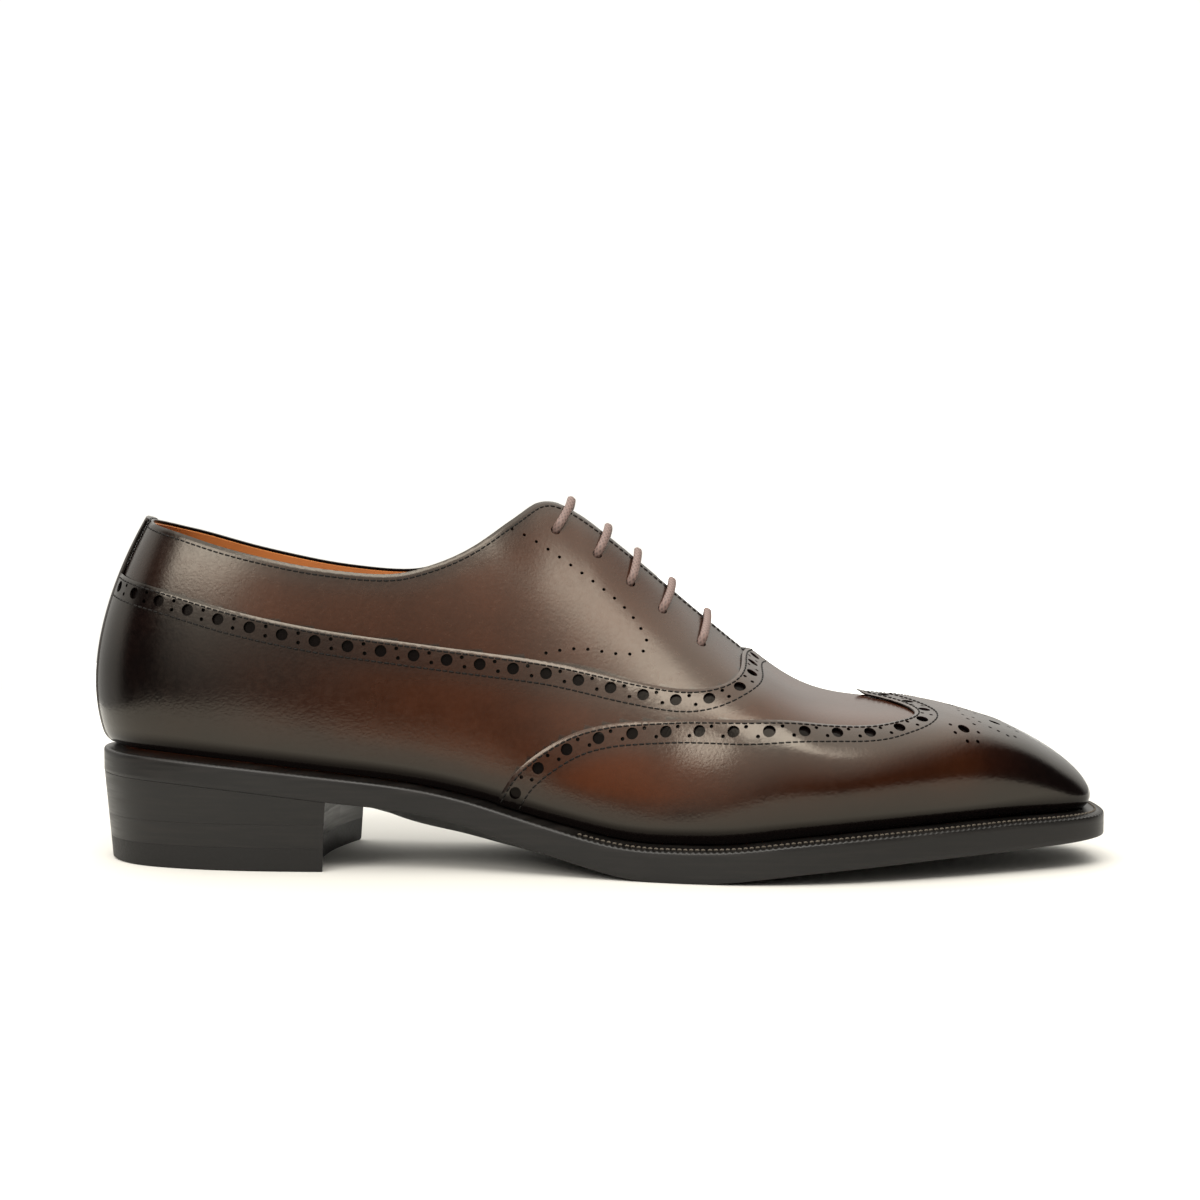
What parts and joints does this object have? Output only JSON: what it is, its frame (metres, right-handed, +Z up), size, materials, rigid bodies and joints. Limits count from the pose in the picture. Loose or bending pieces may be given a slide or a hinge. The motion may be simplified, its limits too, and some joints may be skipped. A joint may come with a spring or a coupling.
{
  "type": "wingtip oxford shoe",
  "caption": "Closed-laced right shoe with a winged, perforated toe cap, perforated foxing band, welted leather sole and stacked heel, hollow for a foot.",
  "frame": {"origin": "middle of the shoe's box on the floor", "axes": "+X from heel to toe, +Y to the medial (inner) side, +Z up"},
  "size_m": [0.307, 0.1019, 0.1106],
  "materials": {
    "outsole": "waxed edge, semi-gloss",
    "welt": "waxed edge, semi-gloss",
    "heel_seat_lift": "waxed edge, semi-gloss",
    "heel_mid_lift": "waxed edge, semi-gloss",
    "heel_top_piece": "matt",
    "insole": "natural, matt",
    "upper": "polished calf",
    "vamp_foxing": "polished calf with patina",
    "wing_cap": "polished calf with patina",
    "back_strip": "polished calf",
    "tongue": "polished calf",
    "lace": "round waxed cotton"
  },
  "bodies": {
    "root": {"outsole": "outsole", "welt": "welt", "heel_seat_lift": "heel_seat_lift", "heel_mid_lift": "heel_mid_lift", "heel_top_piece": "heel_top_piece", "insole": "insole", "upper": "upper", "vamp_foxing": "vamp_foxing", "wing_cap": "wing_cap", "back_strip": "back_strip", "tongue": "tongue", "lace_bar_1": "lace", "lace_bar_2": "lace", "lace_bar_3": "lace", "lace_bar_4": "lace", "lace_bar_5": "lace"}
  },
  "joints": []
}
